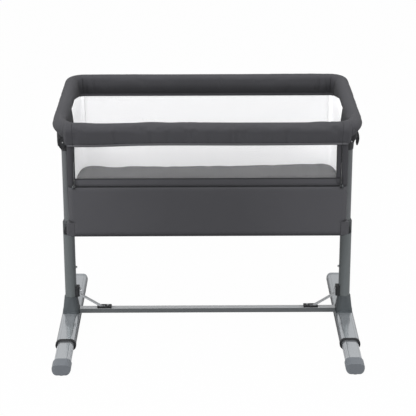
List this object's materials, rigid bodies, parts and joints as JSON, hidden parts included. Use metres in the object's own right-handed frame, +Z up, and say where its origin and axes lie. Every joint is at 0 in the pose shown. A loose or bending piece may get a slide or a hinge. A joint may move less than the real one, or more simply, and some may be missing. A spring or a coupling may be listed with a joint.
{
  "type": "bedside cradle",
  "caption": "Bedside cradle: padded fabric bassinet with net windows, hung between telescopic posts on pull-out sledge feet, with a fold-down front side.",
  "frame": {"origin": "on the floor, under the middle of the footprint", "axes": "+X along the crossbar from post to post, +Z up, -Y towards the folding front side"},
  "size_m": [0.932, 0.71, 0.736],
  "materials": {
    "foot_silver": "satin silver-grey powder coat",
    "cap_silver": "smooth moulded",
    "cap_grey": "smooth moulded",
    "black_plastic": "fine grain",
    "socket_grey": "fine grain",
    "post_grey": "satin grey powder coat",
    "upper_grey": "satin grey powder coat",
    "collar_dark": "fine grain",
    "bar_silver": "satin",
    "brace_steel": "satin",
    "screw_steel": "bright",
    "hub_black": "fine grain",
    "cover_fabric": "padded woven",
    "panel_fabric": "woven",
    "dark_fabric": "woven",
    "connector_grey": "fine grain",
    "board": "hardboard",
    "mattress_fabric": "soft quilted",
    "white_mesh": "open net",
    "white_fabric": "smooth lining"
  },
  "bodies": {
    "stand": {"foot_sleeve_left": "foot_silver", "foot_sleeve_right": "foot_silver", "foot_rear_cap_left": "cap_silver", "foot_rear_cap_right": "cap_silver", "foot_rings": "black_plastic", "post_socket_left": "socket_grey", "post_socket_right": "socket_grey", "lower_post_left": "post_grey", "lower_post_right": "post_grey", "post_collar_left": "collar_dark", "post_collar_right": "collar_dark", "crossbar": "bar_silver", "brace_left": "brace_steel", "brace_right": "brace_steel", "brace_clips": "black_plastic", "stand_fasteners": "screw_steel"},
    "button_left": {"height_button_left": "black_plastic"},
    "button_right": {"height_button_right": "black_plastic"},
    "foot_left": {"foot_tube_left": "foot_silver", "foot_front_cap_left": "cap_grey"},
    "foot_right": {"foot_tube_right": "foot_silver", "foot_front_cap_right": "cap_grey"},
    "post_left": {"upper_post_left": "upper_grey", "post_plug_left": "black_plastic", "hub_left": "hub_black"},
    "post_right": {"upper_post_right": "upper_grey", "post_plug_right": "black_plastic", "hub_right": "hub_black"},
    "lever_left": {"hub_lever_left": "black_plastic"},
    "lever_right": {"hub_lever_right": "black_plastic"},
    "zip_left": {"zip_slider_left": "black_plastic"},
    "zip_right": {"zip_slider_right": "black_plastic"},
    "gate": {"gate_rail": "bar_silver", "gate_arm_left": "hub_black", "gate_arm_right": "hub_black", "gate_cover": "cover_fabric", "gate_mesh": "white_mesh", "gate_strip": "panel_fabric"},
    "bassinet": {"rail_tube": "bar_silver", "front_elbow_left": "hub_black", "front_elbow_right": "hub_black", "rail_saddle_left": "hub_black", "rail_saddle_right": "hub_black", "rail_cover": "cover_fabric", "elbow_cover_left": "cover_fabric", "elbow_cover_right": "cover_fabric", "base_frame": "bar_silver", "base_corner_left": "connector_grey", "base_corner_right": "connector_grey", "corner_tube_left": "upper_grey", "corner_tube_right": "upper_grey", "mattress_board": "board", "mattress": "mattress_fabric", "base_cloth": "dark_fabric", "front_panel": "panel_fabric", "end_wall_left": "dark_fabric", "end_wall_right": "dark_fabric", "rear_wall": "dark_fabric", "rear_mesh": "white_mesh", "lining": "white_fabric"}
  },
  "joints": [
    {"name": "height", "type": "slide", "parent": "stand", "child": "post_left", "axis": [0, 0, 1], "range_m": [0, 0.09]},
    {"name": "tilt", "type": "hinge", "parent": "post_left", "child": "bassinet", "pos_m": [-0.433, 0.049, 0.655], "axis": [0, -1, 0], "range_deg": [0, 2]},
    {"name": "right_post_follow", "type": "hinge", "parent": "bassinet", "child": "post_right", "pos_m": [0.433, 0.049, 0.655], "axis": [0, -1, 0], "range_deg": [-2, 0]},
    {"name": "foot_slide_left", "type": "slide", "parent": "stand", "child": "foot_left", "axis": [0, 1, 0], "range_m": [0, 0.11]},
    {"name": "foot_slide_right", "type": "slide", "parent": "stand", "child": "foot_right", "axis": [0, 1, 0], "range_m": [0, 0.11]},
    {"name": "gate_fold", "type": "hinge", "parent": "bassinet", "child": "gate", "pos_m": [0, -0.22, 0.542], "axis": [1, 0, 0], "range_deg": [0, 172]},
    {"name": "lever_left_press", "type": "hinge", "parent": "post_left", "child": "lever_left", "pos_m": [-0.4545, 0.049, 0.632], "axis": [0, -1, 0], "range_deg": [0, 7], "stiffness_Nm_per_rad": 1.8},
    {"name": "lever_right_press", "type": "hinge", "parent": "post_right", "child": "lever_right", "pos_m": [0.4545, 0.049, 0.632], "axis": [0, 1, 0], "range_deg": [0, 7], "stiffness_Nm_per_rad": 1.8},
    {"name": "button_left_press", "type": "slide", "parent": "stand", "child": "button_left", "axis": [0.225, 0.9744, 0], "range_m": [0, 0.003], "stiffness_N_per_m": 1500},
    {"name": "button_right_press", "type": "slide", "parent": "stand", "child": "button_right", "axis": [-0.225, 0.9744, 0], "range_m": [0, 0.003], "stiffness_N_per_m": 1500},
    {"name": "zip_left_run", "type": "slide", "parent": "bassinet", "child": "zip_left", "axis": [0, 0, 1], "range_m": [0, 0.095]},
    {"name": "zip_right_run", "type": "slide", "parent": "bassinet", "child": "zip_right", "axis": [0, 0, 1], "range_m": [0, 0.095]}
  ],
  "couplings": [
    {"joint": "right_post_follow", "follows": "tilt", "ratio": -1}
  ]
}
